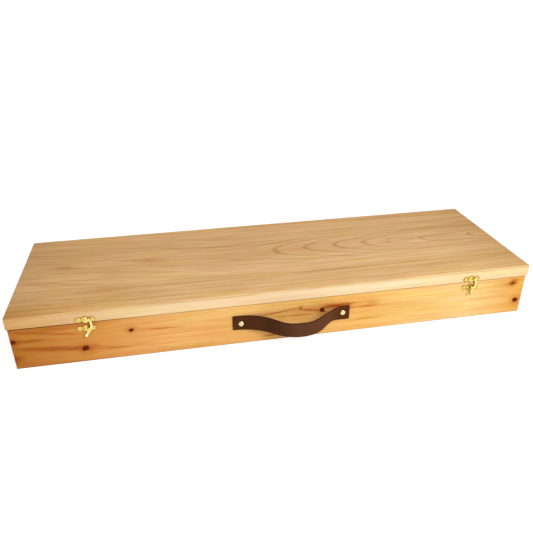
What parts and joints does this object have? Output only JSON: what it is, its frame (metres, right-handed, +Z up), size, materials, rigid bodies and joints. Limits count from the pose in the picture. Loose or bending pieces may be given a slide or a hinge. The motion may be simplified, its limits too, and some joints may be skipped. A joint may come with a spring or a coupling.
{
  "type": "axe presentation box",
  "caption": "Long shallow pine presentation box for an axe, with a hinged lid, brass swing hook clasps and a bowed leather carrying strap.",
  "frame": {"origin": "middle of the underside of the body, on the flush bottom panel", "axes": "+X along the length, to the right as seen from the front; +Y to the back, where the hinges are; +Z up"},
  "size_m": [0.873, 0.3179, 0.0954],
  "materials": {
    "body_pine": "oiled knotty pine, streaky orange grain",
    "lid_rail_wood": "pale oiled pine, faint straight grain",
    "lid_top_wood": "oiled panel with arched grain, satin",
    "bottom_plywood": "unfinished plywood",
    "cradle_pine": "bare sanded pine",
    "brass": "bright polished brass, lightly tarnished in the recesses",
    "steel": "zinc plated",
    "strap_leather": "dark brown vegetable-tanned leather with burnished edges"
  },
  "bodies": {
    "case": {"front_wall": "body_pine", "back_wall": "body_pine", "left_end_wall": "body_pine", "right_end_wall": "body_pine", "bottom_panel": "bottom_plywood", "bottom_brads": "steel", "grip_cradle": "cradle_pine", "handle_cradle": "cradle_pine", "head_cradle": "cradle_pine", "left_catch_plate": "brass", "right_catch_plate": "brass", "left_catch_stud": "brass", "right_catch_stud": "brass", "catch_plate_screws": "brass", "left_hinge_body_leaf": "brass", "right_hinge_body_leaf": "brass", "left_hinge_pin": "brass", "right_hinge_pin": "brass", "hinge_body_screws": "brass", "handle_strap": "strap_leather", "strap_cup_washers": "brass", "strap_screws": "brass", "strap_backing_washers": "steel", "strap_nuts": "steel"},
    "lid": {"lid_top_panel": "lid_top_wood", "lid_front_rail": "lid_rail_wood", "lid_back_rail": "lid_rail_wood", "lid_left_rail": "lid_rail_wood", "lid_right_rail": "lid_rail_wood", "left_clasp_plate": "brass", "right_clasp_plate": "brass", "left_pivot_rivet": "brass", "right_pivot_rivet": "brass", "clasp_plate_screws": "brass", "left_hinge_lid_leaf": "brass", "right_hinge_lid_leaf": "brass", "hinge_lid_screws": "brass"},
    "left_hook_arm": {"left_hook": "brass"},
    "right_hook_arm": {"right_hook": "brass"}
  },
  "joints": [
    {"name": "lid_hinge", "type": "hinge", "parent": "case", "child": "lid", "pos_m": [0, 0.13815, 0.0742], "axis": [-1, 0, 0], "range_deg": [0, 180]},
    {"name": "left_hook_pivot", "type": "hinge", "parent": "lid", "child": "left_hook_arm", "pos_m": [-0.313, -0.1389, 0.0796], "axis": [0, -1, 0], "range_deg": [0, 120]},
    {"name": "right_hook_pivot", "type": "hinge", "parent": "lid", "child": "right_hook_arm", "pos_m": [0.334, -0.1389, 0.0796], "axis": [0, -1, 0], "range_deg": [0, 120]}
  ]
}
